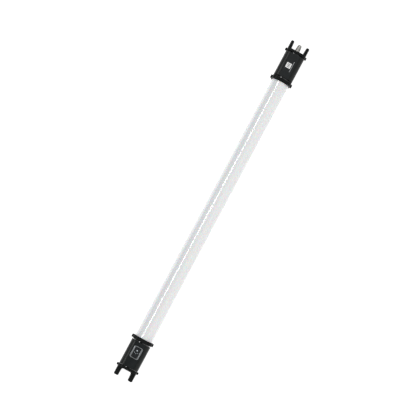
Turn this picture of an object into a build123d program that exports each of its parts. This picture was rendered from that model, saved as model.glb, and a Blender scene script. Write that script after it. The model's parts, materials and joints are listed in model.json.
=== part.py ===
"""Battery light tube: an opal tube between two end caps, lying on its back along X, front up."""
from build123d import *
import os

# ---------------------------------------------------------------- driving dimensions (mm)
# The tube lies along X. Each end cap is laid out in t, the distance outward from the face
# of the cap's inner flange, and across it in the local frame of section() below.

# opal diffuser tube
TUBE_R = 30.0                # outside radius
TUBE_WALL = 2.0
TUBE_SHOWN = 940.0           # length between the two flange faces
TUBE_INSERT = 8.0            # depth of the tube inside each flange
TUBE_GAP = 0.1               # radial clearance of the tube in the flange groove

# end cap section: a square with rounded corners
BODY_HALF = TUBE_R + 2.7     # half width of the housings
BODY_CORNER = 14.5
PLATE_HALF = BODY_HALF + 0.6  # half width of the flanges and fork plates
PLATE_CORNER = 15.0
AXIS_Z = PLATE_HALF          # height of the tube's axis: the plates rest on z = 0

# end cap lengths, inward to outward
FLANGE_T = 11.5              # inner flange plate
INNER_NECK = 4.0             # groove between the flange and the housing
HOUSING_LEN = 85.3
OUTER_NECK = 3.0             # groove between the housing and the fork plate
FORK_PLATE_T = 8.4
HORN_LEN = 29.7              # horns beyond the fork plate

# necks, collars and the spigot inside the tube
COLLAR_R = TUBE_R - 1.5
COLLAR_BORE_R = TUBE_R - 5.0
COLLAR_GRIP = 10.0           # length of each collar inside the housing
COLLAR_GAP = 0.1             # radial clearance of a collar in the housing
SPIGOT_LEN = 22.0            # length of the flange's spigot inside the tube
SPIGOT_GAP = 0.15            # radial clearance of the spigot in the tube
NECK_RING_PROUD = 1.1        # seal ring standing on a neck
NECK_RING_ROUND = 0.5        # its corner radius
NECK_RING_GAP = 0.3          # space left at each side of a seal ring
TUBE_SEAL_T = 1.4
SEAL_GAP = 0.1               # each side of a seal in its groove
SNUG = 0.02                  # each side of a ring or insert that is pressed in

# ears on the flanges and fork plates
EAR_REACH = PLATE_HALF + 5.2  # from the axis to an ear's end
EAR_HALF = 7.5               # half width of an ear
EAR_CORNER = 4.0
FLANGE_EAR_T = 10.2
FORK_EAR_T = 7.6
EAR_INSERT_R = 2.8           # brass insert in each ear
EAR_INSERT_LEN = 5.0
EAR_INSERT_SUNK = 0.1        # insert's face below the ear's
EAR_THREAD_R = 1.65          # core of an M4 thread

# fork horns; the gap values are half the gap between them, at the plate and at the tips
HORN_TIP_FLAT = 0.5          # cut off the drafted tips, to leave small flats to stand on
HORN_HALF = 14.0             # half thickness of the horns, front to back
HORN_ROOT = 2.0              # the horns start this far inside the fork plate
HORN_DRAFT = 7.0             # moulding draft towards the front and the back, in degrees
HORN_EYE_R = 3.25            # cross hole in the control end's horns, for a safety wire
HORN_EYE_FROM_TIP = 9.5
CONTROL_GAP_BASE = 16.4
CONTROL_GAP_TIP = 17.1
CONTROL_GAP_CORNER = 9.0
CONTROL_TIP_CORNER = 5.0
CONNECTOR_GAP_BASE = 20.4
CONNECTOR_GAP_TIP = 22.2
CONNECTOR_GAP_CORNER = 4.0
CONNECTOR_TIP_CORNER = 3.3

# front panels, let into the housings over their whole length
PANEL_W = 34.8
PANEL_T = 1.7
PANEL_RECESS = 1.8
PANEL_SIDE_GAP = 0.35

# edge rounding
EDGE_R = 1.0                 # plates and ears
HORN_EDGE_R = 1.2
HOUSING_EDGE = 0.5
PANEL_EDGE = 0.3

# corner channels that lighten the housing walls
CHANNEL_WALL = 2.6           # wall left inside and outside a channel

# collar screws, countersunk M3, at the back and both sides
SCREW_R = 1.5
SCREW_CLEAR = 0.1
SCREW_HEAD_R = 2.8
SCREW_LEN = 6.0
SCREW_SUNK = 0.15            # head's top below the face
SCREW_INSET = 5.0            # from the housing's end to a screw
SOCKET_DRIVE_R = 1.0         # hexagon in a screw head
SOCKET_DRIVE_DEPTH = 0.9

# keypad on the control end, laid out in t
PAD_T = 48.6                 # centre of the pad
PAD_LEN = 39.4
PAD_W = 30.2
PAD_CORNER = 5.0
BEZEL_SIDE = 4.3
BEZEL_END = 1.5
BEZEL_PROUD = 0.7
BEZEL_EDGE = 0.42
MAT_GAP = 0.1                # mat in the panel's opening, each side
MAT_LAP = 0.6                # how far the bezel laps over the mat
POWER_T = 41.6
POWER_R = 5.5
MODE_T = 60.0
MODE_R = 3.8
BUTTON_PROUD = 0.6
BUTTON_TRAVEL = 0.6
BUTTON_GAP = 0.2             # radial clearance of a button in the mat
BUTTON_RIM = 0.8             # rim that keeps a button in
BUTTON_RIM_T = 0.9
BUTTON_RIM_GAP = 0.3         # radial clearance of that rim in the housing
BUTTON_RIM_DROP = 0.2        # space between the rim and the mat above it
BUTTON_EDGE = 0.4
BUTTON_STEM_R = 1.5
STEM_GAP = 0.1               # stem above the switch with the button pressed
POWER_LENS_R = 2.2
LENS_R = 1.1
LENS_GAP = 0.05
LENS_T = 1.0                 # power light, let into its button
LENS_HOLE_GAP = 0.15         # radial clearance of an indicator in the housing
LENS_PROUD = 0.2             # indicators above the panel
LENS_EDGE = 0.3
HOLE_UNDER = 6.0             # keypad holes start this far under the housing's bore
INDICATORS = [(49.4, -5.8), (51.8, 0.0), (49.4, 5.8)]   # (t, across)

# badge and marking strip on the connector end
BADGE_T = 57.9
BADGE_ACROSS = 3.7
BADGE_LEN = 17.4
BADGE_W = 16.8
BADGE_THICK = 0.8
BADGE_PROUD = 0.3
BADGE_BARS = 3
BADGE_CORNER = 0.95
BADGE_POCKET_GAP = 0.05      # each side of the badge or the strip in its pocket
BAR_LEN_SHARE = 0.42         # a bar's share of the bar pitch, along the badge
BAR_W_SHARE = 0.56           # and of the badge's width
BAR_CORNER = 0.58
STRIP_ACROSS = -8.2
STRIP_LEN = 36.5
STRIP_W = 1.3
STRIP_THICK = 0.4
STRIP_PROUD = 0.1
STRIP_CORNER = 0.45

# round socket and its cap on the connector end
SOCKET_R = 7.0
SOCKET_BORE_R = SOCKET_R - 1.4
SOCKET_OUT = HORN_LEN - 18.7  # length beyond the fork plate, clear of the cap's taper
SOCKET_IN = 12.0             # length inside the plate
SOCKET_GAP = 0.1
SOCKET_RIM_R = SOCKET_R + 1.6
SOCKET_RIM_T = 1.6
NUT_FLATS = 2 * SOCKET_R + 5.0
NUT_T = 3.0
NUT_GAP = 0.1                # nut short of the plate
THREAD_GAP = 0.05            # radial, of a nut, washer or insert on the shell
INSERT_START = 1.0           # insert inside the shell's inner end
INSERT_SHORT = 6.0           # and short of its outer end
PIN_R = 0.6
PIN_GAP = 0.03
PIN_RING_R = SOCKET_BORE_R - 2.5
PINS = 5
PIN_STANDS = 4.0             # pins beyond the insert at each end
CAP_BASE_R = SOCKET_R + 1.8
CAP_BASE_LEN = 4.0
CAP_STEP_LEN = 1.0
CAP_SHOULDER_R = SOCKET_R + 1.0
CAP_DOME_R = SOCKET_R - 0.6   # where the dome starts
CAP_DOME_LEN = 4.0
CAP_END_SPACE = 2.0          # inside the cap, beyond the socket's end
CAP_TIP_FROM_HORN = 1.5      # the cap ends this far below the horn tips
CAP_EYE_R = 1.7
CAP_EYE_FROM_TIP = 5.2
CAP_GAP = 0.08               # running clearance of the cap on the socket
WASHER_T = 0.8
WASHER_INSET = 0.3           # washer inside the cap's rim
CAP_LIFT = 0.1               # the cap's rim above its washer

# spine, lamp board and battery inside the tube (heights from the tube's axis)
SPINE_W = 44.0
SPINE_T = 3.0
SPINE_TOP = 2.0
SPINE_WALL_T = 2.0
SPINE_DEPTH = 12.0
SPINE_END_GAP = 8.0          # spine's ends short of the flange faces
LED_BOARD_W = 30.0
LED_BOARD_T = 1.6
LED_SIZE = 5.0
LED_CORNER = 0.4
LED_T = 1.6
LED_PITCH = 14.6
LED_ROWS = 2
LED_ROW_PITCH = 12.0
SADDLE_T = 6.0
SADDLE_GAP = 0.3
SADDLE_FROM_END = (40.0, 160.0, 280.0)   # saddles, from the flange faces
CELL_R = 9.2
CELL_LEN = 65.0
CELL_PITCH = 67.0
CELL_ACROSS = 9.8
CELL_DOWN = 11.5
CELLS_LONG = 5
SLEEVE_T = 0.4
SLEEVE_GAP = 0.05            # sleeve round the cells
SLEEVE_END = 1.0             # sleeve beyond the end cells' pitch
GUARD_BOARD_GAP = 4.0        # protection board beyond the sleeve
GUARD_BOARD_H = 14.0
GUARD_BOARD_CLEAR = 2.0      # each side of that board inside the cells' outline
WIRE_R = 1.0
WIRE_ACROSS = 18.5
WIRE_LIFT = 0.1              # wires above the spine
WIRE_INTO_CAP = 30.0

# boards in the housings
BOARD_END_GAP = 2.5          # carriers end this far short of the collars
BOARD_T = 1.6
BOARD_CORNER = 1.5
BOARD_HOLE_GAP = 0.1
BOARD_HOLE_INSET = 4.0       # from a board's edges to its holes
BOARD_SCREW_GAP = 0.05       # screws in the posts
BOARD_SCREW_R = 1.25
BOARD_SCREW_HEAD_R = 2.3
BOARD_SCREW_LEN = 6.0
BOARD_SCREW_HEAD_T = 1.5
POST_R = 3.0
CONTROL_BOARD_W = 36.0
CONTROL_BOARD_DOWN = 19.0    # height of its lower face above the axis
SWITCH_SIZE = 6.0
SWITCH_CORNER = 0.5
SWITCH_T = 3.5
PLUNGER_R = 1.6
PLUNGER_T = 1.5
DRIVER_BOARD_W = 44.0
DRIVER_BOARD_DOWN = -10.0
POST_H = 4.0
CARRIER_T = 2.4
CARRIER_CORNER = 2.0
CARRIER_LAP = 1.0            # carrier beyond the board at each end
RADIO_LEN = 30.0
RADIO_W = 18.0
RADIO_DOWN = 12.0
RADIO_CORNER = 1.0
RADIO_CAN = (16.0, 12.0, 2.4)
RADIO_CAN_BACK = 4.0         # can nearer to the tube than the board's middle
COIL = (7.0, 3.0, 8.0)       # outer radius, bore radius, height
COIL_BACK = 14.0             # from the housing's middle towards the tube
CAPACITOR_R = 4.0
CAPACITOR_H = 12.0
CAPACITOR_OUT = 8.0          # from the housing's middle towards the socket
CAPACITOR_PITCH = (12.0, 14.0)

# ---------------------------------------------------------------- derived positions
HALF_SHOWN = TUBE_SHOWN / 2
HOUSING_T0 = FLANGE_T + INNER_NECK
HOUSING_T1 = HOUSING_T0 + HOUSING_LEN
FORK_T0 = HOUSING_T1 + OUTER_NECK
FORK_T1 = FORK_T0 + FORK_PLATE_T
TIP_T = FORK_T1 + HORN_LEN
TUBE_BORE_R = TUBE_R - TUBE_WALL
HOUSING_BORE_R = COLLAR_R + COLLAR_GAP
CORNER_REACH = (BODY_HALF - BODY_CORNER) * 2 ** 0.5 + BODY_CORNER
CHANNEL_AT = (HOUSING_BORE_R + CORNER_REACH) / 2    # distance from the axis
CHANNEL_R = (CORNER_REACH - HOUSING_BORE_R) / 2 - CHANNEL_WALL
RECESS_FLOOR = BODY_HALF - PANEL_RECESS
PANEL_TOP = RECESS_FLOOR + PANEL_T
BOARD_LEN = HOUSING_LEN - 2 * (COLLAR_GRIP + BOARD_END_GAP)
SADDLE_AT = [side * (HALF_SHOWN - inset) for side in (-1, 1) for inset in SADDLE_FROM_END]
MIDDLE_T = HOUSING_T0 + HOUSING_LEN / 2
OVERALL = 2 * (HALF_SHOWN + TIP_T)
AXIS_XZ = Plane(origin=(0, 0, AXIS_Z), x_dir=(1, 0, 0), z_dir=(0, -1, 0))
CONTROL = -1                 # the control end points along -X
CONNECTOR = 1                # the connector end points along +X


def section(side, t):
    """Plane across an end cap at distance t: +Y side across, up is +Z, normal outward."""
    origin = (side * (HALF_SHOWN + t), 0, AXIS_Z)
    return Plane(origin=origin, x_dir=(0, side, 0), z_dir=(side, 0, 0))


def level(side, t, across, height):
    """Horizontal plane over a point of an end cap, height measured from the tube's axis."""
    return Plane(origin=(side * (HALF_SHOWN + t), across, AXIS_Z + height))


def save(builder, label):
    """Name a finished piece and write it as one STEP file."""
    builder.part.label = label
    export_step(builder.part, "parts/" + label + ".step")


def end_name(side):
    return "control_end" if side == CONTROL else "connector_end"


def screw_planes(side, t):
    """Outward planes on the housing's back and two side faces."""
    x = side * (HALF_SHOWN + t)
    return [
        Plane(origin=(x, 0, AXIS_Z - BODY_HALF), x_dir=(1, 0, 0), z_dir=(0, 0, -1)),
        Plane(origin=(x, BODY_HALF, AXIS_Z), x_dir=(1, 0, 0), z_dir=(0, 1, 0)),
        Plane(origin=(x, -BODY_HALF, AXIS_Z), x_dir=(1, 0, 0), z_dir=(0, -1, 0)),
    ]


def ear_planes(side):
    """Outward planes at the ends of the flange ears and the fork ears."""
    planes = []
    for t in (FLANGE_EAR_T / 2, FORK_T0 + FORK_EAR_T / 2):
        x = side * (HALF_SHOWN + t)
        for across in (1, -1):
            origin = (x, across * EAR_REACH, AXIS_Z)
            planes.append(Plane(origin=origin, x_dir=(1, 0, 0), z_dir=(0, across, 0)))
    return planes


def ear_rims(builder):
    """Edges round both faces of the ears that stand out of a plate."""
    rims = builder.edges().filter_by(Plane.YZ)
    return rims.filter_by(lambda edge: abs(edge.center().Y) > PLATE_HALF + SNUG)


def is_outer(edge):
    """True for a cross-section edge that lies on the outside of a housing or plate."""
    middle = edge.center()
    return max(abs(middle.Y), abs(middle.Z - AXIS_Z)) > BODY_HALF - BODY_CORNER


def plate_outline(half, corner):
    RectangleRounded(2 * half, 2 * half, corner)


def ear_outline():
    """The two ears of a plate, as one bar through the plate's middle."""
    RectangleRounded(2 * EAR_REACH, 2 * EAR_HALF, EAR_CORNER)


# ---------------------------------------------------------------- tube and its core
def build_diffuser_tube():
    length = TUBE_SHOWN + 2 * TUBE_INSERT
    with BuildPart() as tube:
        with BuildSketch(core_plane(-length / 2)):
            Circle(TUBE_R)
            Circle(TUBE_BORE_R, mode=Mode.SUBTRACT)
        extrude(amount=length)
    save(tube, "diffuser_tube")


def core_plane(x, across=0.0, height=0.0):
    """Plane across the tube at x, its origin placed from the tube's axis."""
    return Plane(origin=(x, across, AXIS_Z + height), x_dir=(0, 1, 0), z_dir=(1, 0, 0))


def build_spine():
    half = HALF_SHOWN - SPINE_END_GAP
    with BuildPart() as spine:
        with BuildSketch(core_plane(-half, 0, SPINE_TOP - SPINE_T / 2)):
            Rectangle(SPINE_W, SPINE_T)
            wall_x = SPINE_W / 2 - SPINE_WALL_T / 2
            with Locations((-wall_x, -SPINE_DEPTH / 2), (wall_x, -SPINE_DEPTH / 2)):
                Rectangle(SPINE_WALL_T, SPINE_DEPTH)
        extrude(amount=2 * half)
    save(spine, "spine")


def build_led_board():
    half = HALF_SHOWN - SPINE_END_GAP
    with BuildPart() as board:
        with BuildSketch(core_plane(-half, 0, SPINE_TOP + LED_BOARD_T / 2)):
            Rectangle(LED_BOARD_W, LED_BOARD_T)
        extrude(amount=2 * half)
    save(board, "led_board")

    count = int(2 * (half - LED_SIZE) // LED_PITCH)
    with BuildPart() as emitters:
        with BuildSketch(Plane.XY.offset(AXIS_Z + SPINE_TOP + LED_BOARD_T)):
            with GridLocations(LED_PITCH, LED_ROW_PITCH, count, LED_ROWS):
                RectangleRounded(LED_SIZE, LED_SIZE, LED_CORNER)
        extrude(amount=LED_T)
    save(emitters, "led_emitters")


def build_saddles():
    slot_x = SPINE_W / 2 - SPINE_WALL_T / 2
    slot_w = SPINE_WALL_T + 2 * SADDLE_GAP
    under = SPINE_TOP - SPINE_T
    with BuildPart() as saddles:
        for x in SADDLE_AT:
            with BuildSketch(core_plane(x - SADDLE_T / 2)):
                Circle(TUBE_BORE_R - SADDLE_GAP)
                with Locations((0, under + TUBE_R)):
                    Rectangle(2 * TUBE_R, 2 * TUBE_R, mode=Mode.SUBTRACT)
                slot_bottom = under - SPINE_DEPTH + SPINE_T / 2 - SADDLE_GAP
                with Locations((-slot_x, slot_bottom / 2), (slot_x, slot_bottom / 2)):
                    Rectangle(slot_w, -slot_bottom, mode=Mode.SUBTRACT)
            extrude(amount=SADDLE_T)
    save(saddles, "spine_saddles")


def build_battery():
    with BuildPart() as cells:
        for row in range(CELLS_LONG):
            x = (row - (CELLS_LONG - 1) / 2) * CELL_PITCH - CELL_LEN / 2
            with BuildSketch(core_plane(x, 0, -CELL_DOWN)):
                with Locations((-CELL_ACROSS, 0), (CELL_ACROSS, 0)):
                    Circle(CELL_R)
            extrude(amount=CELL_LEN)
    save(cells, "battery_cells")

    sleeve_half = CELLS_LONG * CELL_PITCH / 2 + SLEEVE_END
    sleeve_r = CELL_R + SLEEVE_GAP
    with BuildPart() as sleeve:
        with BuildSketch(core_plane(-sleeve_half, 0, -CELL_DOWN)):
            SlotCenterToCenter(2 * CELL_ACROSS, 2 * (sleeve_r + SLEEVE_T))
            SlotCenterToCenter(2 * CELL_ACROSS, 2 * sleeve_r, mode=Mode.SUBTRACT)
        extrude(amount=2 * sleeve_half)
    save(sleeve, "battery_sleeve")

    board_x = sleeve_half + GUARD_BOARD_GAP
    board_w = 2 * (CELL_ACROSS + CELL_R - GUARD_BOARD_CLEAR)
    with BuildPart() as board:
        with BuildSketch(core_plane(-board_x - BOARD_T, 0, -CELL_DOWN)):
            RectangleRounded(board_w, GUARD_BOARD_H, BOARD_CORNER)
        extrude(amount=BOARD_T)
    save(board, "battery_protection_board")


def build_wires():
    half = HALF_SHOWN + WIRE_INTO_CAP
    with BuildPart() as wires:
        with BuildSketch(core_plane(-half, 0, SPINE_TOP + WIRE_R + WIRE_LIFT)):
            with Locations((-WIRE_ACROSS, 0), (WIRE_ACROSS, 0)):
                Circle(WIRE_R)
        extrude(amount=2 * half)
    save(wires, "power_wires")


# ---------------------------------------------------------------- pieces of both end caps
def build_flange(side):
    """Inner flange: eared plate, groove for the tube, spigot inside it, neck and collar."""
    groove_depth = TUBE_INSERT + TUBE_SEAL_T
    with BuildPart() as flange:
        with BuildSketch(section(side, 0)):
            plate_outline(PLATE_HALF, PLATE_CORNER)
        extrude(amount=FLANGE_T)
        fillet(flange.edges().filter_by(Plane.YZ), EDGE_R)
        with BuildSketch(section(side, (FLANGE_T - FLANGE_EAR_T) / 2)):
            ear_outline()
        extrude(amount=FLANGE_EAR_T)
        fillet(ear_rims(flange), EDGE_R)
        with BuildSketch(section(side, FLANGE_T)):
            Circle(COLLAR_R)
        extrude(amount=INNER_NECK + COLLAR_GRIP)
        with BuildSketch(section(side, 0)):
            Circle(TUBE_R + TUBE_GAP)
        extrude(amount=groove_depth, mode=Mode.SUBTRACT)
        with BuildSketch(section(side, -SPIGOT_LEN)):
            Circle(TUBE_BORE_R - SPIGOT_GAP)
        extrude(amount=SPIGOT_LEN + groove_depth)
        with BuildSketch(section(side, -SPIGOT_LEN)):
            Circle(COLLAR_BORE_R)
        extrude(amount=SPIGOT_LEN + HOUSING_T0 + COLLAR_GRIP, mode=Mode.SUBTRACT)
        with Locations(*ear_planes(side)[:2]):
            Hole(EAR_INSERT_R, depth=EAR_INSERT_LEN)
        with Locations(*screw_planes(side, HOUSING_T0 + SCREW_INSET)):
            Hole(SCREW_R + SCREW_CLEAR, depth=BODY_HALF - COLLAR_BORE_R + SCREW_CLEAR)
    save(flange, "flange_" + end_name(side))


def build_tube_seal(side):
    with BuildPart() as seal:
        with BuildSketch(section(side, TUBE_INSERT)):
            Circle(TUBE_R - SEAL_GAP)
            Circle(TUBE_BORE_R + SEAL_GAP, mode=Mode.SUBTRACT)
        extrude(amount=TUBE_SEAL_T)
    save(seal, "tube_seal_" + end_name(side))


def build_neck_ring(side, label, t, length):
    """Rounded rubber ring standing in the groove on a neck."""
    width = length - 2 * NECK_RING_GAP
    x = side * (HALF_SHOWN + t + length / 2)
    inner = COLLAR_R + SNUG
    with BuildPart() as ring:
        with BuildSketch(AXIS_XZ):
            with Locations((x, inner + NECK_RING_PROUD / 2)):
                RectangleRounded(width, NECK_RING_PROUD, NECK_RING_ROUND)
        revolve(axis=Axis((0, 0, AXIS_Z), (1, 0, 0)))
    save(ring, label + end_name(side))


def build_housing(side):
    """Housing: rounded square shell with a round bore and a recess for the front panel."""
    sink_depth = SCREW_HEAD_R - SCREW_R + SCREW_SUNK
    with BuildPart() as housing:
        with BuildSketch(section(side, HOUSING_T0)):
            plate_outline(BODY_HALF, BODY_CORNER)
            Circle(HOUSING_BORE_R, mode=Mode.SUBTRACT)
            with PolarLocations(CHANNEL_AT, 4, start_angle=45):
                Circle(CHANNEL_R, mode=Mode.SUBTRACT)
            with Locations((0, BODY_HALF - PANEL_RECESS / 2)):
                Rectangle(PANEL_W, PANEL_RECESS, mode=Mode.SUBTRACT)
        extrude(amount=HOUSING_LEN)
        outer = housing.edges().filter_by(Plane.YZ).filter_by(is_outer)
        chamfer(outer, HOUSING_EDGE)
        for t in (HOUSING_T0 + SCREW_INSET, HOUSING_T1 - SCREW_INSET):
            for face in screw_planes(side, t):
                with Locations(face):
                    Hole(SCREW_R + SCREW_CLEAR, depth=2 * SCREW_LEN)
                with BuildSketch(face.offset(-sink_depth)):
                    Circle(SCREW_R + SCREW_CLEAR)
                extrude(amount=sink_depth, taper=-45, mode=Mode.SUBTRACT)
        if side == CONTROL:
            hole_base = HOUSING_BORE_R - HOLE_UNDER
            for t, radius in ((POWER_T, POWER_R), (MODE_T, MODE_R)):
                with BuildSketch(level(side, t, 0, hole_base)):
                    Circle(radius + BUTTON_RIM + BUTTON_RIM_GAP)
                extrude(amount=BODY_HALF - hole_base, mode=Mode.SUBTRACT)
            for t, across in INDICATORS:
                with BuildSketch(level(side, t, across, hole_base)):
                    Circle(LENS_R + LENS_HOLE_GAP)
                extrude(amount=BODY_HALF - hole_base, mode=Mode.SUBTRACT)
    save(housing, "housing_" + end_name(side))


def build_collar_screws(side):
    """Six countersunk screws that hold the two collars in a housing."""
    head_depth = SCREW_HEAD_R - SCREW_R
    with BuildPart() as screws:
        for t in (HOUSING_T0 + SCREW_INSET, HOUSING_T1 - SCREW_INSET):
            for face in screw_planes(side, t):
                with BuildSketch(face.offset(-SCREW_LEN)):
                    Circle(SCREW_R)
                extrude(amount=SCREW_LEN - SCREW_SUNK - head_depth)
                with BuildSketch(face.offset(-SCREW_SUNK - head_depth)):
                    Circle(SCREW_R)
                extrude(amount=head_depth, taper=-45)
                with BuildSketch(face.offset(-SCREW_SUNK - SOCKET_DRIVE_DEPTH)):
                    RegularPolygon(SOCKET_DRIVE_R, 6)
                extrude(amount=SOCKET_DRIVE_DEPTH, mode=Mode.SUBTRACT)
    save(screws, "collar_screws_" + end_name(side))


def fork_front(side, gap_base, gap_tip, gap_corner, tip_corner):
    """Front outline of the horns, rooted in the fork plate, with a rounded gap between them."""
    x0 = side * (HALF_SHOWN + FORK_T0 + HORN_ROOT)
    x1 = side * (HALF_SHOWN + FORK_T1)
    x2 = side * (HALF_SHOWN + TIP_T + HORN_TIP_FLAT)
    half, tip, base = side * PLATE_HALF, side * gap_tip, side * gap_base
    points = [
        (x0, -half), (x2, -half), (x2, -tip), (x1, -base),
        (x1, base), (x2, tip), (x2, half), (x0, half),
    ]
    with BuildSketch(Plane.XY.offset(AXIS_Z)) as front:
        with BuildLine():
            Polyline(*points, close=True)
        make_face()
        tips = front.vertices().filter_by_position(Axis.X, x2 - 0.01, x2 + 0.01)
        fillet(tips, tip_corner)
        floor = front.vertices().filter_by_position(Axis.X, x1 - 0.01, x1 + 0.01)
        fillet(floor, gap_corner)
    return front.sketch


def build_fork(side):
    """Outer plate with ears, a collar into the housing, and two guard horns.

    The control end's horns have a cross hole; the other end's plate holds the socket.
    """
    if side == CONTROL:
        shape = (CONTROL_GAP_BASE, CONTROL_GAP_TIP, CONTROL_GAP_CORNER, CONTROL_TIP_CORNER)
    else:
        shape = (CONNECTOR_GAP_BASE, CONNECTOR_GAP_TIP, CONNECTOR_GAP_CORNER,
                 CONNECTOR_TIP_CORNER)
    with BuildPart() as horns:
        extrude(fork_front(side, *shape), amount=HORN_HALF, taper=HORN_DRAFT)
        fillet(horns.faces().sort_by(Axis.Z)[-1].edges(), HORN_EDGE_R)
        mirror(about=Plane.XY.offset(AXIS_Z))
        split(bisect_by=section(side, TIP_T), keep=Keep.BOTTOM)
    with BuildPart() as fork:
        with BuildSketch(section(side, FORK_T0)):
            plate_outline(PLATE_HALF, PLATE_CORNER)
        extrude(amount=FORK_PLATE_T)
        fillet(fork.edges().filter_by(Plane.YZ), EDGE_R)
        with BuildSketch(section(side, FORK_T0)):
            ear_outline()
        extrude(amount=FORK_EAR_T)
        fillet(ear_rims(fork), EDGE_R)
        add(horns.part)
        with BuildSketch(section(side, HOUSING_T1 - COLLAR_GRIP)):
            Circle(COLLAR_R)
            Circle(COLLAR_BORE_R, mode=Mode.SUBTRACT)
        extrude(amount=COLLAR_GRIP + OUTER_NECK)
        with Locations(*ear_planes(side)[2:]):
            Hole(EAR_INSERT_R, depth=EAR_INSERT_LEN)
        with Locations(*screw_planes(side, HOUSING_T1 - SCREW_INSET)):
            Hole(SCREW_R + SCREW_CLEAR, depth=BODY_HALF - COLLAR_BORE_R + SCREW_CLEAR)
        if side == CONNECTOR:
            with BuildSketch(section(side, FORK_T0)):
                Circle(SOCKET_R + SOCKET_GAP)
            extrude(amount=FORK_PLATE_T, mode=Mode.SUBTRACT)
        else:
            with BuildSketch(AXIS_XZ):
                with Locations((side * (HALF_SHOWN + TIP_T - HORN_EYE_FROM_TIP), 0)):
                    Circle(HORN_EYE_R)
            extrude(amount=EAR_REACH, both=True, mode=Mode.SUBTRACT)
    save(fork, "fork_" + end_name(side))


def build_ear_inserts(side):
    """Threaded brass inserts in the four ears of one end cap."""
    with BuildPart() as inserts:
        for face in ear_planes(side):
            with BuildSketch(face.offset(-EAR_INSERT_LEN)):
                Circle(EAR_INSERT_R - SNUG)
                Circle(EAR_THREAD_R, mode=Mode.SUBTRACT)
            extrude(amount=EAR_INSERT_LEN - EAR_INSERT_SUNK)
    save(inserts, "ear_inserts_" + end_name(side))


# ---------------------------------------------------------------- control end
def panel_plane(side):
    """Floor of the front recess, over the housing's middle."""
    return level(side, MIDDLE_T, 0, RECESS_FLOOR)


def build_control_panel():
    opening_len = PAD_LEN - 2 * BEZEL_END + 2 * MAT_LAP
    opening_w = PAD_W - 2 * BEZEL_SIDE + 2 * MAT_LAP
    opening_corner = PAD_CORNER - BEZEL_END + MAT_LAP
    with BuildPart() as panel:
        with BuildSketch(panel_plane(CONTROL)):
            Rectangle(HOUSING_LEN, PANEL_W - 2 * PANEL_SIDE_GAP)
        extrude(amount=PANEL_T)
        chamfer(panel.faces().sort_by(Axis.Z)[-1].edges(), PANEL_EDGE)
        with BuildSketch(level(CONTROL, PAD_T, 0, RECESS_FLOOR)):
            RectangleRounded(opening_len, opening_w, opening_corner)
        extrude(amount=PANEL_T, mode=Mode.SUBTRACT)
    save(panel, "front_panel_control_end")

    with BuildPart() as mat:
        with BuildSketch(level(CONTROL, PAD_T, 0, RECESS_FLOOR)):
            RectangleRounded(opening_len - 2 * MAT_GAP, opening_w - 2 * MAT_GAP,
                             opening_corner - MAT_GAP)
        extrude(amount=PANEL_T)
        for t, radius in ((POWER_T, POWER_R), (MODE_T, MODE_R)):
            with BuildSketch(level(CONTROL, t, 0, RECESS_FLOOR)):
                Circle(radius + BUTTON_GAP)
            extrude(amount=PANEL_T, mode=Mode.SUBTRACT)
        for t, across in INDICATORS:
            with BuildSketch(level(CONTROL, t, across, RECESS_FLOOR)):
                Circle(LENS_R + LENS_GAP)
            extrude(amount=PANEL_T, mode=Mode.SUBTRACT)
    save(mat, "keypad_mat")

    with BuildPart() as bezel:
        with BuildSketch(level(CONTROL, PAD_T, 0, PANEL_TOP)):
            RectangleRounded(PAD_LEN, PAD_W, PAD_CORNER)
            RectangleRounded(PAD_LEN - 2 * BEZEL_END, PAD_W - 2 * BEZEL_SIDE,
                             PAD_CORNER - BEZEL_END, mode=Mode.SUBTRACT)
        extrude(amount=BEZEL_PROUD)
        fillet(bezel.faces().sort_by(Axis.Z)[-1].edges(), BEZEL_EDGE)
    save(bezel, "keypad_bezel")


def build_button(label, t, radius, lens_r):
    """Push button: crowned cap above the mat, retaining rim and stem below it."""
    top = PANEL_TOP + BUTTON_PROUD
    rim_top = RECESS_FLOOR - BUTTON_RIM_DROP
    plunger_top = CONTROL_BOARD_DOWN + BOARD_T + SWITCH_T + PLUNGER_T
    stem_end = plunger_top + BUTTON_TRAVEL + STEM_GAP
    with BuildPart() as button:
        with BuildSketch(level(CONTROL, t, 0, rim_top)):
            Circle(radius)
        extrude(amount=top - rim_top)
        fillet(button.faces().sort_by(Axis.Z)[-1].edges(), BUTTON_EDGE)
        with BuildSketch(level(CONTROL, t, 0, rim_top - BUTTON_RIM_T)):
            Circle(radius + BUTTON_RIM)
        extrude(amount=BUTTON_RIM_T)
        with BuildSketch(level(CONTROL, t, 0, stem_end)):
            Circle(BUTTON_STEM_R)
        extrude(amount=rim_top - stem_end)
        if lens_r:
            with BuildSketch(level(CONTROL, t, 0, top - LENS_T)):
                Circle(lens_r)
            extrude(amount=LENS_T, mode=Mode.SUBTRACT)
    save(button, label)


def build_lenses():
    top = PANEL_TOP + BUTTON_PROUD
    with BuildPart() as lens:
        with BuildSketch(level(CONTROL, POWER_T, 0, top - LENS_T)):
            Circle(POWER_LENS_R - SNUG)
        extrude(amount=LENS_T)
    save(lens, "power_button_lens")

    with BuildPart() as lenses:
        for t, across in INDICATORS:
            with BuildSketch(level(CONTROL, t, across, RECESS_FLOOR - LENS_T)):
                Circle(LENS_R)
            extrude(amount=LENS_T + PANEL_T + LENS_PROUD)
        fillet(lenses.faces().filter_by(Axis.Z).group_by(Axis.Z)[-1].edges(), LENS_EDGE)
    save(lenses, "indicator_lenses")


def board_corners(length, width):
    """The four screw positions of a board, from its middle."""
    along = length / 2 - BOARD_HOLE_INSET
    across = width / 2 - BOARD_HOLE_INSET
    return [(i * along, j * across) for i in (-1, 1) for j in (-1, 1)]


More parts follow.
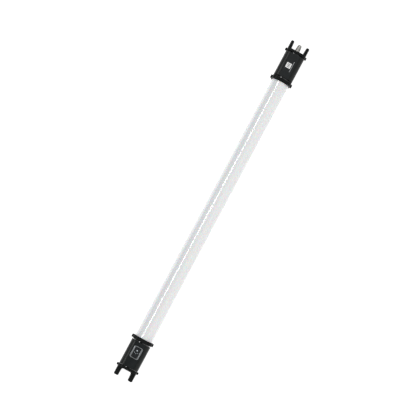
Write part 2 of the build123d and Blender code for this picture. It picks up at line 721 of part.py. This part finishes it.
def build_board_set(prefix, side, width, height):
    """A circuit board on a carrier with four posts, and its four screws."""
    t = MIDDLE_T
    length = BOARD_LEN
    points = board_corners(length, width)
    with BuildPart() as board:
        with BuildSketch(level(side, t, 0, height)):
            RectangleRounded(length, width, BOARD_CORNER)
            with Locations(*points):
                Circle(BOARD_SCREW_R + BOARD_HOLE_GAP, mode=Mode.SUBTRACT)
        extrude(amount=BOARD_T)
    save(board, prefix + "_board")

    with BuildPart() as carrier:
        with BuildSketch(level(side, t, 0, height - POST_H - CARRIER_T)):
            RectangleRounded(length + 2 * CARRIER_LAP, width, CARRIER_CORNER)
        extrude(amount=CARRIER_T)
        with BuildSketch(level(side, t, 0, height - POST_H)):
            with Locations(*points):
                Circle(POST_R)
        extrude(amount=POST_H)
        with BuildSketch(level(side, t, 0, height - POST_H - CARRIER_T)):
            with Locations(*points):
                Circle(BOARD_SCREW_R + BOARD_SCREW_GAP)
        extrude(amount=POST_H + CARRIER_T, mode=Mode.SUBTRACT)
    save(carrier, prefix + "_board_carrier")

    with BuildPart() as screws:
        with BuildSketch(level(side, t, 0, height + BOARD_T - BOARD_SCREW_LEN)):
            with Locations(*points):
                Circle(BOARD_SCREW_R)
        extrude(amount=BOARD_SCREW_LEN)
        with BuildSketch(level(side, t, 0, height + BOARD_T)):
            with Locations(*points):
                Circle(BOARD_SCREW_HEAD_R)
        extrude(amount=BOARD_SCREW_HEAD_T)
    save(screws, prefix + "_board_screws")


def build_switches():
    base = CONTROL_BOARD_DOWN + BOARD_T
    with BuildPart() as switches:
        for t in (POWER_T, MODE_T):
            with BuildSketch(level(CONTROL, t, 0, base)):
                RectangleRounded(SWITCH_SIZE, SWITCH_SIZE, SWITCH_CORNER)
            extrude(amount=SWITCH_T)
            with BuildSketch(level(CONTROL, t, 0, base + SWITCH_T)):
                Circle(PLUNGER_R)
            extrude(amount=PLUNGER_T)
    save(switches, "tact_switches")


# ---------------------------------------------------------------- connector end
def build_connector_panel():
    badge_bottom = PANEL_TOP + BADGE_PROUD - BADGE_THICK
    strip_bottom = PANEL_TOP + STRIP_PROUD - STRIP_THICK
    gap = 2 * BADGE_POCKET_GAP
    with BuildPart() as panel:
        with BuildSketch(panel_plane(CONNECTOR)):
            Rectangle(HOUSING_LEN, PANEL_W - 2 * PANEL_SIDE_GAP)
        extrude(amount=PANEL_T)
        chamfer(panel.faces().sort_by(Axis.Z)[-1].edges(), PANEL_EDGE)
        with BuildSketch(level(CONNECTOR, BADGE_T, BADGE_ACROSS, badge_bottom)):
            RectangleRounded(BADGE_LEN + gap, BADGE_W + gap, BADGE_CORNER + BADGE_POCKET_GAP)
        extrude(amount=BADGE_THICK, mode=Mode.SUBTRACT)
        with BuildSketch(level(CONNECTOR, BADGE_T, STRIP_ACROSS, strip_bottom)):
            RectangleRounded(STRIP_LEN + gap, STRIP_W + gap, STRIP_CORNER + BADGE_POCKET_GAP)
        extrude(amount=STRIP_THICK, mode=Mode.SUBTRACT)
    save(panel, "front_panel_connector_end")

    bar_pitch = BADGE_LEN / (BADGE_BARS + 1)
    bar_len = bar_pitch * BAR_LEN_SHARE
    bar_w = BADGE_W * BAR_W_SHARE
    with BuildPart() as badge:
        with BuildSketch(level(CONNECTOR, BADGE_T, BADGE_ACROSS, badge_bottom)):
            RectangleRounded(BADGE_LEN, BADGE_W, BADGE_CORNER)
        extrude(amount=BADGE_THICK)
        with BuildSketch(level(CONNECTOR, BADGE_T, BADGE_ACROSS, PANEL_TOP)):
            with GridLocations(bar_pitch, 0, BADGE_BARS, 1):
                RectangleRounded(bar_len, bar_w, BAR_CORNER + SNUG)
        extrude(amount=BADGE_PROUD, mode=Mode.SUBTRACT)
    save(badge, "badge_plate")

    with BuildPart() as bars:
        with BuildSketch(level(CONNECTOR, BADGE_T, BADGE_ACROSS, PANEL_TOP)):
            with GridLocations(bar_pitch, 0, BADGE_BARS, 1):
                RectangleRounded(bar_len - 2 * SNUG, bar_w - 2 * SNUG, BAR_CORNER)
        extrude(amount=BADGE_PROUD)
    save(bars, "badge_bars")

    with BuildPart() as strip:
        with BuildSketch(level(CONNECTOR, BADGE_T, STRIP_ACROSS, strip_bottom)):
            RectangleRounded(STRIP_LEN, STRIP_W, STRIP_CORNER)
        extrude(amount=STRIP_THICK)
    save(strip, "marking_strip")


def build_socket():
    """Panel socket: threaded shell, rim, inside nut, insert and pins."""
    with BuildPart() as shell:
        with BuildSketch(section(CONNECTOR, FORK_T0 - SOCKET_IN)):
            Circle(SOCKET_R)
        extrude(amount=SOCKET_IN + FORK_PLATE_T + SOCKET_OUT)
        with BuildSketch(section(CONNECTOR, FORK_T1)):
            Circle(SOCKET_RIM_R)
        extrude(amount=SOCKET_RIM_T)
        with BuildSketch(section(CONNECTOR, FORK_T0 - SOCKET_IN)):
            Circle(SOCKET_BORE_R)
        extrude(amount=SOCKET_IN + FORK_PLATE_T + SOCKET_OUT, mode=Mode.SUBTRACT)
    save(shell, "socket_shell")

    with BuildPart() as nut:
        with BuildSketch(section(CONNECTOR, FORK_T0 - NUT_T - NUT_GAP)):
            RegularPolygon(NUT_FLATS / 2, 6, major_radius=False)
            Circle(SOCKET_R + THREAD_GAP, mode=Mode.SUBTRACT)
        extrude(amount=NUT_T)
    save(nut, "socket_nut")

    insert_t0 = FORK_T0 - SOCKET_IN + INSERT_START
    insert_len = SOCKET_IN + FORK_PLATE_T + SOCKET_OUT - INSERT_START - INSERT_SHORT
    with BuildPart() as insert:
        with BuildSketch(section(CONNECTOR, insert_t0)):
            Circle(SOCKET_BORE_R - THREAD_GAP)
            with PolarLocations(PIN_RING_R, PINS):
                Circle(PIN_R + PIN_GAP, mode=Mode.SUBTRACT)
        extrude(amount=insert_len)
    save(insert, "socket_insert")

    with BuildPart() as pins:
        with BuildSketch(section(CONNECTOR, insert_t0 - PIN_STANDS)):
            with PolarLocations(PIN_RING_R, PINS):
                Circle(PIN_R)
        extrude(amount=insert_len + 2 * PIN_STANDS)
    save(pins, "socket_pins")


def build_socket_cap():
    """Turned metal cap over the socket, with a cross hole near its tip, and its washer."""
    base_t = FORK_T1 + SOCKET_RIM_T + WASHER_T + CAP_LIFT
    tip_t = TIP_T - CAP_TIP_FROM_HORN
    socket_end_t = FORK_T1 + SOCKET_OUT
    x0 = HALF_SHOWN + base_t
    tip = HALF_SHOWN + tip_t
    bore_end = HALF_SHOWN + socket_end_t + CAP_END_SPACE
    bore_r = SOCKET_R + CAP_GAP
    base_end = x0 + CAP_BASE_LEN
    dome = (tip - CAP_DOME_LEN, CAP_DOME_R)
    with BuildPart() as washer:
        with BuildSketch(section(CONNECTOR, FORK_T1 + SOCKET_RIM_T)):
            Circle(CAP_BASE_R - WASHER_INSET)
            Circle(SOCKET_R + THREAD_GAP, mode=Mode.SUBTRACT)
        extrude(amount=WASHER_T)
    save(washer, "cap_washer")

    with BuildPart() as cap:
        with BuildSketch(AXIS_XZ):
            with BuildLine():
                Polyline((x0, bore_r), (x0, CAP_BASE_R), (base_end, CAP_BASE_R),
                         (base_end + CAP_STEP_LEN, CAP_SHOULDER_R), dome)
                Spline(dome, (tip, 0), tangents=[(1, -0.25), (0, -1)])
                Polyline((tip, 0), (bore_end, 0), (bore_end, bore_r), (x0, bore_r))
            make_face()
        revolve(axis=Axis((0, 0, AXIS_Z), (1, 0, 0)))
        with BuildSketch(Plane.XY.offset(AXIS_Z)):
            with Locations((tip - CAP_EYE_FROM_TIP, 0)):
                Circle(CAP_EYE_R)
        extrude(amount=2 * CAP_BASE_R, both=True, mode=Mode.SUBTRACT)
    save(cap, "socket_cap")


def build_radio():
    with BuildPart() as radio:
        with BuildSketch(level(CONNECTOR, MIDDLE_T, 0, RADIO_DOWN)):
            RectangleRounded(RADIO_LEN, RADIO_W, RADIO_CORNER)
        extrude(amount=BOARD_T)
        with BuildSketch(level(CONNECTOR, MIDDLE_T - RADIO_CAN_BACK, 0, RADIO_DOWN + BOARD_T)):
            Rectangle(RADIO_CAN[0], RADIO_CAN[1])
        extrude(amount=RADIO_CAN[2])
    save(radio, "radio_board")


def build_driver_components():
    """Choke coil and four capacitors on the driver board."""
    top = DRIVER_BOARD_DOWN + BOARD_T
    coil_r, coil_bore_r, coil_h = COIL
    with BuildPart() as parts:
        with BuildSketch(level(CONNECTOR, MIDDLE_T - COIL_BACK, 0, top)):
            Circle(coil_r)
            Circle(coil_bore_r, mode=Mode.SUBTRACT)
        extrude(amount=coil_h)
        with BuildSketch(level(CONNECTOR, MIDDLE_T + CAPACITOR_OUT, 0, top)):
            with GridLocations(*CAPACITOR_PITCH, 2, 2):
                Circle(CAPACITOR_R)
        extrude(amount=CAPACITOR_H)
    save(parts, "driver_components")


def main():
    os.makedirs("parts", exist_ok=True)
    build_diffuser_tube()
    build_spine()
    build_led_board()
    build_saddles()
    build_battery()
    build_wires()
    for side in (CONTROL, CONNECTOR):
        build_flange(side)
        build_tube_seal(side)
        build_neck_ring(side, "inner_neck_ring_", FLANGE_T, INNER_NECK)
        build_neck_ring(side, "outer_neck_ring_", HOUSING_T1, OUTER_NECK)
        build_housing(side)
        build_collar_screws(side)
        build_fork(side)
        build_ear_inserts(side)
    build_control_panel()
    build_button("power_button", POWER_T, POWER_R, POWER_LENS_R)
    build_button("mode_button", MODE_T, MODE_R, 0)
    build_lenses()
    build_board_set("control", CONTROL, CONTROL_BOARD_W, CONTROL_BOARD_DOWN)
    build_switches()
    build_connector_panel()
    build_board_set("driver", CONNECTOR, DRIVER_BOARD_W, DRIVER_BOARD_DOWN)
    build_driver_components()
    build_radio()
    build_socket()
    build_socket_cap()
    print("overall length", OVERALL)


main()
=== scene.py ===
"""Looks of the battery light tube: materials, floor, lights and camera.

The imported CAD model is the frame, and every visible piece is one of its nodes. The tube
lies along X with its front facing up (+Z), the keypad end at -X and the socket end at +X.
All lengths are in metres.
"""
import json
import math

import bmesh
import bpy
from mathutils import Matrix, Vector


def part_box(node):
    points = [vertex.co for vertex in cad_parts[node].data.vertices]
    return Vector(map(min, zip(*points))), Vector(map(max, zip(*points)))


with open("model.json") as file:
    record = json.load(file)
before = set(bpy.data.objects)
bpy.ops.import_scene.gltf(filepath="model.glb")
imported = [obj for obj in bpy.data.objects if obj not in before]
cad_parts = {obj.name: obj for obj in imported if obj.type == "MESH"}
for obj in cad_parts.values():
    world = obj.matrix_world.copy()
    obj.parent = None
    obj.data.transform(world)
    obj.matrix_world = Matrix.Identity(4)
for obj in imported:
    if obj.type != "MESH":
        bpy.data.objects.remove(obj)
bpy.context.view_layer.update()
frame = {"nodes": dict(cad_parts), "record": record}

MM = 0.001

# painted shade: a soft darker, cooler band painted into the opal tube's colour along its
# left side
SHADE_Y = 17.0 * MM          # its middle
SHADE_CORE = 3.0 * MM        # full shade this far either side of the middle
SHADE_REACH = 14.0 * MM      # and none beyond this
SHADE_TONE = (0.69, 0.705, 0.72)

# camera over the front
VIEW_DISTANCE = 4.5                # height above the tube's axis
VIEW_FOOT = (-0.2693, 0.083)       # X, Y of the camera
VIEW_AIM = (-0.0007, 0.0154)       # X, Y of the point it looks at, on the axis plane
VIEW_LEAN = math.radians(28.144)   # the tube's lean, clockwise from upright
VIEW_FOCAL_SHARE = 3.3498          # focal length over the frame's width
SENSOR = 36.0                      # millimetres, as the camera data has it

# floor
FLOOR_HALF = 6.0
FLOOR_TONES = (0.30, 0.32)
FLOOR_ROUGHNESS = 0.9
FLOOR_GLOW = 0.92            # lifts the floor to a plain white sweep

# strip light, which draws the long highlight on the tube
STRIP_ANGLE = math.radians(27.0)   # from straight above towards +Y
STRIP_DISTANCE = 2.4
STRIP_WIDTH = 0.36
STRIP_LENGTH = 4.0
STRIP_POWER = 37.0

# surround
DARK_PATCH = (-0.17, 0.03, 0.98)   # direction of the dark area overhead
PATCH_STOPS = (              # cosine of the angle to the dark area, level, tint or not
    (0.0, 0.95, 0), (0.80, 0.86, 1), (0.935, 0.60, 1), (0.975, 0.11, 1), (1.0, 0.05, 0))
PATCH_TINT = (0.0, 0.01, 0.015)    # what the tint adds to red, green and blue
WORLD_LEVEL = 0.74
RIGHT_GAIN = 0.36            # extra light from the right side


# ---------------------------------------------------------------- node helper
class Nodes:
    """Short calls for building one material's node tree.

    Each call that adds a node returns its output socket, ready to link.
    """

    def __init__(self, name):
        self.material = bpy.data.materials.new(name)
        self.material.use_nodes = True
        self.tree = self.material.node_tree
        self.tree.nodes.clear()
        out = self.tree.nodes.new("ShaderNodeOutputMaterial")
        self.shader = self.tree.nodes.new("ShaderNodeBsdfPrincipled")
        self.link(self.shader.outputs[0], out.inputs[0])
        self.coords = self.tree.nodes.new("ShaderNodeTexCoord").outputs["Object"]

    def link(self, source, target):
        self.tree.links.new(source, target)

    def feed(self, target, value):
        """Link an output to an input, or set a plain value on it."""
        if isinstance(value, bpy.types.NodeSocket):
            self.link(value, target)
        else:
            target.default_value = value

    def stretch(self, scale):
        """Object coordinates scaled by a vector."""
        node = self.tree.nodes.new("ShaderNodeMapping")
        node.inputs["Scale"].default_value = scale
        self.link(self.coords, node.inputs["Vector"])
        return node.outputs[0]

    def noise(self, scale, detail=3.0, rough=0.5, vector=None):
        node = self.tree.nodes.new("ShaderNodeTexNoise")
        node.inputs["Scale"].default_value = scale
        node.inputs["Detail"].default_value = detail
        node.inputs["Roughness"].default_value = rough
        self.link(vector or self.coords, node.inputs["Vector"])
        return node.outputs["Fac"]

    def span(self, value, to, within=(0.0, 1.0)):
        """Value mapped from one range to another, clamped."""
        node = self.tree.nodes.new("ShaderNodeMapRange")
        for end, old, new in zip(("Min", "Max"), within, to):
            node.inputs["From " + end].default_value = old
            node.inputs["To " + end].default_value = new
        self.link(value, node.inputs["Value"])
        return node.outputs[0]

    def mix(self, factor, a, b):
        """Colour between a and b, each a colour or an output."""
        node = self.tree.nodes.new("ShaderNodeMix")
        node.data_type = "RGBA"
        for target, colour in ((node.inputs[6], a), (node.inputs[7], b)):
            self.feed(target, (*colour, 1.0) if isinstance(colour, tuple) else colour)
        self.link(factor, node.inputs[0])
        return node.outputs[2]

    def calc(self, operation, *values):
        """Result of a math node, from numbers or outputs."""
        node = self.tree.nodes.new("ShaderNodeMath")
        node.operation = operation
        for target, value in zip(node.inputs, values):
            self.feed(target, value)
        return node.outputs[0]

    def bump(self, height, strength, distance, under=None):
        """Bump, on top of another bump if one is given."""
        node = self.tree.nodes.new("ShaderNodeBump")
        node.inputs["Strength"].default_value = strength
        node.inputs["Distance"].default_value = distance
        self.link(height, node.inputs["Height"])
        if under is not None:
            self.link(under, node.inputs["Normal"])
        return node.outputs[0]

    def close(self, base, roughness, normal=None, **values):
        """Feed the shader's main inputs, set its uniform values, return the material."""
        self.link(base, self.shader.inputs["Base Color"])
        self.feed(self.shader.inputs["Roughness"], roughness)
        if normal is not None:
            self.link(normal, self.shader.inputs["Normal"])
        for key, value in values.items():
            self.shader.inputs[key.replace("_", " ")].default_value = value
        return self.material


def grey(low, high):
    """Two neutral tones."""
    return (low, low, low), (high, high, high)


# ---------------------------------------------------------------- kinds of material
def opal_plastic():
    """Opal polycarbonate: soft gloss, extrusion lines, and a soft shade painted into the
    colour along one side.
    """
    n = Nodes("opal_plastic")
    milk = n.mix(n.noise(scale=9.0, detail=2.0),
                 (0.800, 0.802, 0.800), (0.825, 0.827, 0.825))
    place = n.tree.nodes.new("ShaderNodeSeparateXYZ")
    n.link(n.coords, place.inputs[0])
    # painted shade: the base colour darkens towards SHADE_TONE in a band around SHADE_Y
    off = n.calc("ABSOLUTE", n.calc("SUBTRACT", place.outputs["Y"], SHADE_Y))
    shade = n.span(off, to=(1.0, 0.0), within=(SHADE_CORE, SHADE_REACH))
    lines = n.noise(scale=1.0, detail=2.0, vector=n.stretch((1.5, 420.0, 420.0)))
    return n.close(base=n.mix(shade, milk, SHADE_TONE),
                   roughness=n.span(n.noise(scale=60.0), to=(0.07, 0.11)),
                   normal=n.bump(lines, strength=0.04, distance=0.2 * MM),
                   IOR=1.585, Coat_Weight=0.8, Coat_Roughness=0.06,
                   Subsurface_Weight=0.15, Subsurface_Scale=2.0 * MM)


def black_grain(name, tones, rough, grain, depth, shine):
    """Black surface with a fine moulded or sprayed grain over a soft waviness."""
    n = Nodes(name)
    dust = n.noise(scale=55.0, detail=6.0, rough=0.62)
    gloss = n.noise(scale=240.0, detail=4.0)
    soft = n.bump(n.noise(scale=120.0, detail=2.0), strength=0.12, distance=0.25 * MM)
    fine = n.noise(scale=grain, detail=2.0)
    specks = n.span(dust, to=(0.0, 1.0), within=(0.35, 0.75))
    return n.close(base=n.mix(specks, *tones),
                   roughness=n.span(gloss, to=rough, within=(0.25, 0.75)),
                   normal=n.bump(fine, strength=0.45, distance=depth, under=soft),
                   Specular_IOR_Level=shine)


def smooth_black(name, tones, rough, scratch, coat=0.0):
    """Satin black with faint scuffs along the tube, under a glossy coat if asked."""
    n = Nodes(name)
    smear = n.noise(scale=28.0, detail=5.0, rough=0.6)
    lines = n.noise(scale=900.0, detail=2.0, vector=n.stretch((0.04, 1.0, 1.0)))
    return n.close(base=n.mix(smear, *tones),
                   roughness=n.span(smear, to=rough, within=(0.3, 0.7)),
                   normal=n.bump(lines, strength=scratch, distance=0.05 * MM),
                   IOR=1.5, Coat_Weight=coat, Coat_Roughness=0.08)


def metal(name, tones, rough, line_scale, line_vector, strength):
    """Metal with fine tool or brush lines and a little tarnish."""
    n = Nodes(name)
    stain = n.noise(scale=120.0, detail=5.0, rough=0.6)
    lines = n.noise(scale=line_scale, detail=2.0, vector=n.stretch(line_vector))
    wear = n.calc("MULTIPLY", lines, stain)
    return n.close(base=n.mix(stain, *tones),
                   roughness=n.span(wear, to=rough, within=(0.1, 0.45)),
                   normal=n.bump(lines, strength=strength, distance=0.05 * MM),
                   Metallic=1.0)


def lens_plastic(name, tones, rough, glow):
    """Frosted light window with a faint standby glow."""
    n = Nodes(name)
    frost = n.noise(scale=1400.0, detail=3.0)
    return n.close(base=n.mix(frost, *tones),
                   roughness=n.span(frost, to=rough),
                   normal=n.bump(frost, strength=0.2, distance=0.03 * MM),
                   IOR=1.5, Emission_Color=(*tones[1], 1.0), Emission_Strength=glow)


def tinted(name, tones, rough, scale, bump=0.2, metallic=0.0):
    """Small or hidden piece: two close tones, uneven gloss and a fine grain."""
    n = Nodes(name)
    tone = n.noise(scale=scale, detail=4.0)
    grain = n.noise(scale=scale * 6.0, detail=2.0)
    return n.close(base=n.mix(tone, *tones),
                   roughness=n.span(tone, to=rough, within=(0.3, 0.7)),
                   normal=n.bump(grain, strength=bump, distance=0.05 * MM),
                   Metallic=metallic)


# ---------------------------------------------------------------- materials by slot
def shell_materials():
    """Black shells, front film, keypad and rings."""
    return {
        "housing": black_grain(
            "housing_coat", ((0.0050, 0.0062, 0.0058), (0.0100, 0.0115, 0.0105)),
            rough=(0.34, 0.48), grain=1500.0, depth=0.05 * MM, shine=0.28),
        "flange": black_grain(
            "moulded_black", ((0.0025, 0.0034, 0.0033), (0.0055, 0.0066, 0.0062)),
            rough=(0.42, 0.58), grain=2100.0, depth=0.06 * MM, shine=0.14),
        "panel": smooth_black(
            "panel_film", ((0.0032, 0.0050, 0.0055), (0.0054, 0.0076, 0.0082)),
            rough=(0.24, 0.34), scratch=0.08),
        "keypad": black_grain(
            "keypad_mat", ((0.0030, 0.0042, 0.0052), (0.0060, 0.0078, 0.0092)),
            rough=(0.28, 0.40), grain=2600.0, depth=0.02 * MM, shine=0.5),
        "button": smooth_black(
            "button_satin", ((0.0070, 0.0085, 0.0105), (0.0120, 0.0140, 0.0170)),
            rough=(0.28, 0.40), scratch=0.05),
        "gasket": smooth_black(
            "gasket_rubber", ((0.0040, 0.0048, 0.0050), (0.0080, 0.0090, 0.0092)),
            rough=(0.10, 0.16), scratch=0.03, coat=1.0),
        "rubber": tinted("seal_rubber", grey(0.010, 0.020), rough=(0.55, 0.75), scale=300.0),
    }


def metal_materials():
    """Turned, brushed and plated pieces."""
    turned = (1.0, 0.02, 0.02)
    turned_across = (0.02, 1.0, 0.02)
    brushed = (0.03, 1.0, 1.0)
    plain = (1.0, 1.0, 1.0)
    return {
        "bezel": metal(
            "bezel_anodised", ((0.36, 0.38, 0.39), (0.47, 0.49, 0.50)),
            rough=(0.28, 0.42), line_scale=1500.0, line_vector=brushed, strength=0.15),
        "cap_metal": metal(
            "cap_nickel", ((0.34, 0.335, 0.315), (0.47, 0.46, 0.435)),
            rough=(0.42, 0.56), line_scale=2600.0, line_vector=turned, strength=0.35),
        "connector_metal": metal(
            "socket_nickel", ((0.50, 0.50, 0.48), (0.62, 0.61, 0.59)),
            rough=(0.24, 0.38), line_scale=2600.0, line_vector=turned, strength=0.3),
        "brass": metal(
            "brass_turned", ((0.50, 0.36, 0.15), (0.66, 0.49, 0.22)),
            rough=(0.22, 0.40), line_scale=2600.0, line_vector=turned_across, strength=0.3),
        "black_steel": metal(
            "black_steel", ((0.030, 0.030, 0.032), (0.060, 0.060, 0.062)),
            rough=(0.30, 0.48), line_scale=1800.0, line_vector=plain, strength=0.25),
        "steel": metal(
            "zinc_steel", ((0.45, 0.46, 0.47), (0.60, 0.61, 0.62)),
            rough=(0.26, 0.44), line_scale=1800.0, line_vector=plain, strength=0.25),
        "alloy": metal(
            "spine_alloy", ((0.55, 0.56, 0.57), (0.66, 0.67, 0.68)),
            rough=(0.30, 0.46), line_scale=900.0, line_vector=brushed, strength=0.3),
    }


def marking_materials():
    """Badge plate, its bars, the pale strip and the light windows."""
    return {
        "badge": tinted("badge_white", ((0.78, 0.78, 0.765), (0.83, 0.83, 0.815)),
                        rough=(0.34, 0.46), scale=220.0, bump=0.08),
        "strip": tinted("strip_grey", ((0.36, 0.37, 0.38), (0.44, 0.45, 0.46)),
                        rough=(0.36, 0.48), scale=240.0, bump=0.08),
        "badge_ink": tinted("badge_dark", ((0.012, 0.015, 0.017), (0.024, 0.027, 0.030)),
                            rough=(0.36, 0.50), scale=260.0, bump=0.1),
        "lens": lens_plastic("window_frosted", ((0.34, 0.38, 0.40), (0.48, 0.53, 0.56)),
                             rough=(0.25, 0.45), glow=0.08),
    }


def inner_materials():
    """Boards, emitters, cells and wires inside the tube and the housings."""
    return {
        "board_white": tinted("board_white", ((0.72, 0.72, 0.70), (0.80, 0.80, 0.78)),
                              rough=(0.40, 0.55), scale=90.0),
        "emitter": tinted("emitter_phosphor", ((0.75, 0.66, 0.22), (0.86, 0.78, 0.34)),
                          rough=(0.30, 0.45), scale=700.0),
        "nylon": tinted("nylon_black", grey(0.018, 0.032),
                        rough=(0.55, 0.72), scale=380.0, bump=0.3),
        "cell_steel": tinted("cell_can", ((0.46, 0.48, 0.50), (0.58, 0.60, 0.62)),
                             rough=(0.25, 0.40), scale=150.0, bump=0.1, metallic=1.0),
        "sleeve": tinted("shrink_sleeve", ((0.030, 0.075, 0.17), (0.045, 0.105, 0.23)),
                         rough=(0.25, 0.38), scale=70.0, bump=0.25),
        "board_green": tinted("board_green", ((0.012, 0.10, 0.045), (0.020, 0.14, 0.065)),
                              rough=(0.30, 0.48), scale=420.0, bump=0.3),
        "wire": tinted("wire_skin", grey(0.012, 0.024), rough=(0.35, 0.50), scale=200.0),
        "switch": tinted("moulded_switch", ((0.020, 0.020, 0.022), (0.034, 0.034, 0.036)),
                         rough=(0.45, 0.62), scale=500.0, bump=0.3),
    }


def dress_nodes():
    """Give each CAD node the material of its slot, and the marking strip its own."""
    materials = {"opal": opal_plastic(), **shell_materials(), **metal_materials(),
                 **marking_materials(), **inner_materials()}
    slot_of = {s["node"]: s["material_slot"] for s in frame["record"]["subparts"]}
    slot_of["marking_strip"] = "strip"
    for name, piece in frame["nodes"].items():
        piece.data.materials.clear()
        piece.data.materials.append(materials[slot_of[name]])


# ---------------------------------------------------------------- camera, floor, lights
def tube_axis_height():
    low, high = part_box("diffuser_tube")
    return (low.z + high.z) / 2


def add_to_scene(name, data, matrix=None):
    """New object in the scene, at a world matrix if one is given."""
    thing = bpy.data.objects.new(name, data)
    if matrix is not None:
        thing.matrix_world = matrix
    bpy.context.scene.collection.objects.link(thing)
    return thing


def facing_matrix(place, right, up, forward):
    """World matrix of a camera or light that looks along forward."""
    turn = Matrix((right, up, -forward)).transposed()
    return Matrix.Translation(place) @ turn.to_4x4()


def add_camera():
    """Camera over the front, rolled so that the tube leans as in the reference view."""
    axis_z = tube_axis_height()
    place = Vector((*VIEW_FOOT, axis_z + VIEW_DISTANCE))
    forward = (Vector((*VIEW_AIM, axis_z)) - place).normalized()
    along = Vector((1, 0, 0))
    along = (along - forward * along.dot(forward)).normalized()
    across = forward.cross(along)
    right = along * math.sin(VIEW_LEAN) + across * math.cos(VIEW_LEAN)
    up = along * math.cos(VIEW_LEAN) - across * math.sin(VIEW_LEAN)
    data = bpy.data.cameras.new("view_camera")
    data.sensor_width = SENSOR
    data.lens = SENSOR * VIEW_FOCAL_SHARE
    matrix = facing_matrix(place, right, up, forward)
    bpy.context.scene.camera = add_to_scene("view_camera", data, matrix)


def add_floor():
    """Pale floor under the tube, bright enough to read as a plain white sweep."""
    n = Nodes("floor_white")
    material = n.close(base=n.mix(n.noise(scale=3.0, detail=2.0), *grey(*FLOOR_TONES)),
                       roughness=FLOOR_ROUGHNESS,
                       Emission_Color=(1.0, 1.0, 1.0, 1.0), Emission_Strength=FLOOR_GLOW)
    mesh = bpy.data.meshes.new("floor")
    bm = bmesh.new()
    bmesh.ops.create_grid(bm, x_segments=8, y_segments=8, size=FLOOR_HALF)
    bm.to_mesh(mesh)
    bm.free()
    floor = add_to_scene("floor", mesh)
    floor.data.materials.append(material)


def add_strip_light():
    """Strip light parallel to the tube, facing it."""
    axis_z = tube_axis_height()
    place = Vector((0, math.sin(STRIP_ANGLE) * STRIP_DISTANCE,
                    axis_z + math.cos(STRIP_ANGLE) * STRIP_DISTANCE))
    data = bpy.data.lights.new("strip_left", "AREA")
    data.shape = "RECTANGLE"
    data.size = STRIP_LENGTH
    data.size_y = STRIP_WIDTH
    data.energy = STRIP_POWER
    along = Vector((1, 0, 0))
    toward = (Vector((0, 0, axis_z)) - place).normalized()
    matrix = facing_matrix(place, along, (-toward).cross(along), toward)
    add_to_scene("strip_left", data, matrix)


def fill_ramp(ramp):
    """Set a fresh colour ramp's stops from PATCH_STOPS."""
    ramp.elements[0].position = PATCH_STOPS[0][0]
    ramp.elements[1].position = PATCH_STOPS[-1][0]
    for place, _, _ in PATCH_STOPS[1:-1]:
        ramp.elements.new(place)
    for element, (_, level, tint) in zip(ramp.elements, PATCH_STOPS):
        element.color = (*(level * (1 + tint * more) for more in PATCH_TINT), 1)


def add_world():
    """Bright surround, brighter to the right, with a dark patch where the camera stands."""
    world = bpy.data.worlds.new("surround")
    world.use_nodes = True
    nodes = world.node_tree.nodes
    link = world.node_tree.links.new
    nodes.clear()
    out = nodes.new("ShaderNodeOutputWorld")
    background = nodes.new("ShaderNodeBackground")
    direction = nodes.new("ShaderNodeTexCoord").outputs["Generated"]

    near = nodes.new("ShaderNodeVectorMath")
    near.operation = "DOT_PRODUCT"
    near.inputs[1].default_value = Vector(DARK_PATCH).normalized()
    link(direction, near.inputs[0])
    ramp = nodes.new("ShaderNodeValToRGB")
    fill_ramp(ramp.color_ramp)
    link(near.outputs["Value"], ramp.inputs[0])

    side = nodes.new("ShaderNodeSeparateXYZ")
    link(direction, side.inputs[0])
    level = nodes.new("ShaderNodeMath")
    level.operation = "MULTIPLY_ADD"
    level.inputs[1].default_value = -RIGHT_GAIN
    level.inputs[2].default_value = WORLD_LEVEL
    link(side.outputs["Y"], level.inputs[0])

    link(ramp.outputs[0], background.inputs[0])
    link(level.outputs[0], background.inputs[1])
    link(background.outputs[0], out.inputs[0])
    bpy.context.scene.world = world


bpy.context.scene.view_settings.view_transform = "Standard"
add_camera()
dress_nodes()
add_floor()
add_strip_light()
add_world()
